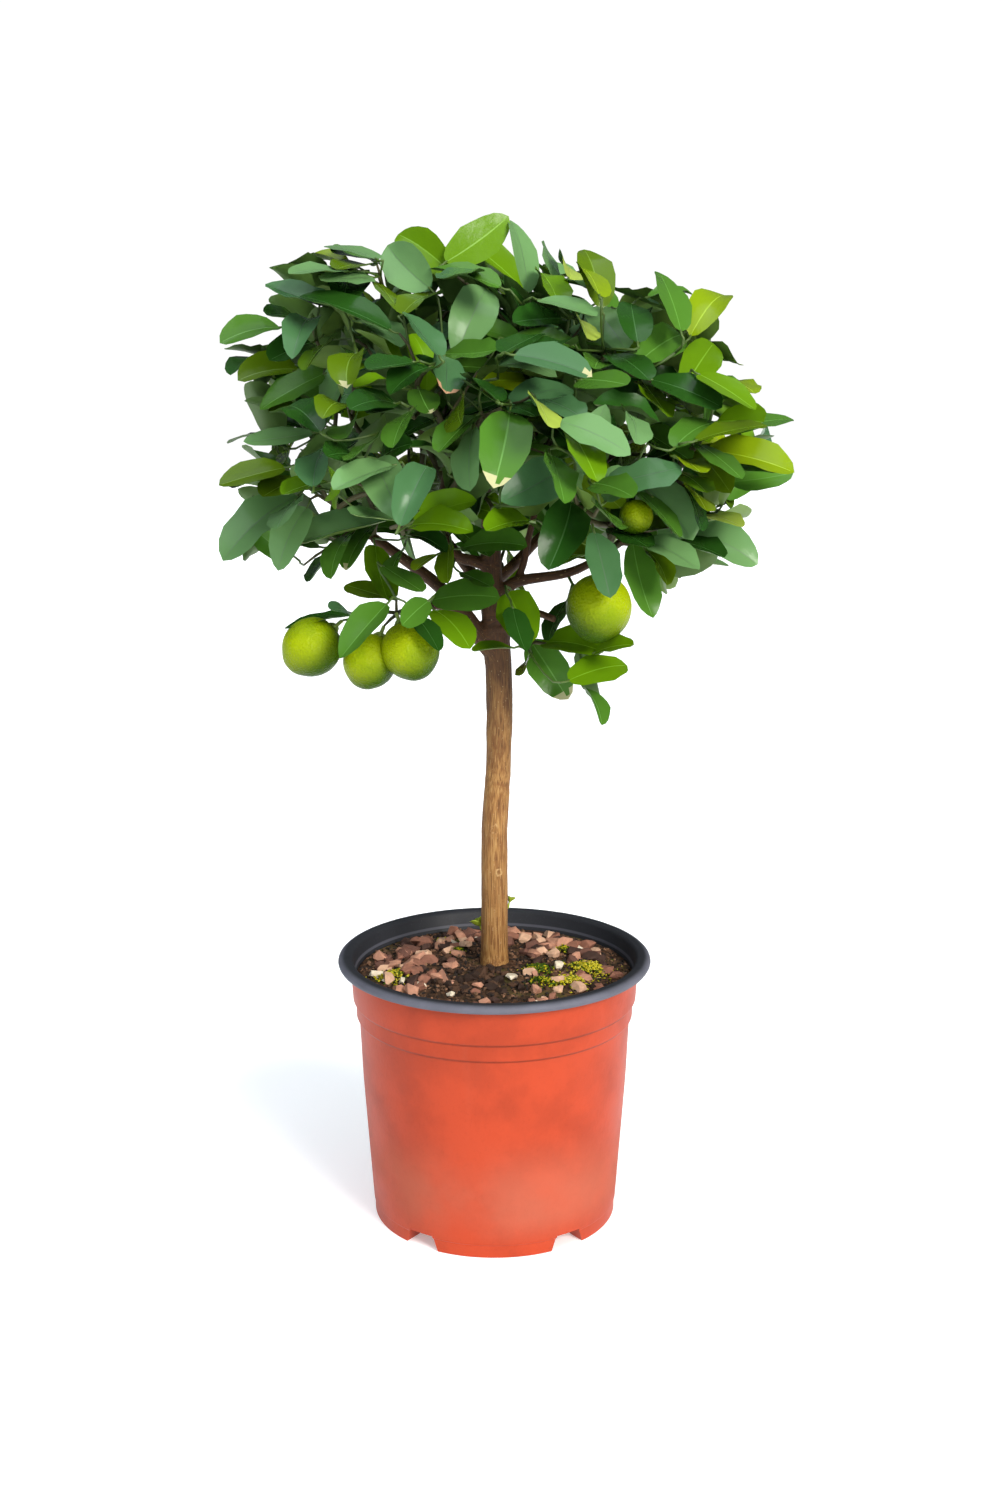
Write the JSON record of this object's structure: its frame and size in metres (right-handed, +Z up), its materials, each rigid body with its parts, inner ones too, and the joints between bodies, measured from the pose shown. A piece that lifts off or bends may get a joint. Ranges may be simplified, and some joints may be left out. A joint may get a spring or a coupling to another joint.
{
  "type": "potted lime tree",
  "caption": "Young lime tree grown as a standard, with a clear stem, a round leafy crown and green fruit, in a tapered plastic pot with a rolled rim.",
  "frame": {"origin": "on the pot's axis, at the level that its feet stand on", "axes": "+Z up along the pot's axis; -Y towards the side seen in the picture; +X to that view's right"},
  "size_m": [0.3936, 0.3771, 0.6957],
  "materials": {
    "pot_plastic": "satin terracotta-orange plastic, slightly mottled, with a chalky bloom low on the wall",
    "rim_plastic": "satin blue-black plastic",
    "compost": "moist crumbly dark brown, with red-brown chippings and patches of moss",
    "bark": "tan-brown bark with fine upright streaks and a few knots",
    "leaves": "glossy deep green above, paler and duller below",
    "fruit": "yellow-green pebbled skin with a soft shine"
  },
  "bodies": {
    "root": {"pot": "pot_plastic", "pot_rim": "rim_plastic", "compost": "compost", "trunk": "bark", "leader": "bark", "bough_left": "bark", "bough_left_upper": "bark", "bough_left_low": "bark", "bough_right": "bark", "bough_right_upper": "bark", "bough_right_low": "bark", "bough_back_left": "bark", "bough_back_right": "bark", "bough_back": "bark", "foliage_heart": "leaves", "foliage_top": "leaves", "foliage_upper_left": "leaves", "foliage_upper_right": "leaves", "foliage_left": "leaves", "foliage_left_low": "leaves", "foliage_front_left": "leaves", "foliage_front_right": "leaves", "foliage_right": "leaves", "foliage_right_low": "leaves", "foliage_fruit_left": "leaves", "foliage_fruit_right": "leaves", "foliage_back_left": "leaves", "foliage_back_right": "leaves", "foliage_back_top": "leaves", "foliage_back_low": "leaves"}
  },
  "joints": []
}
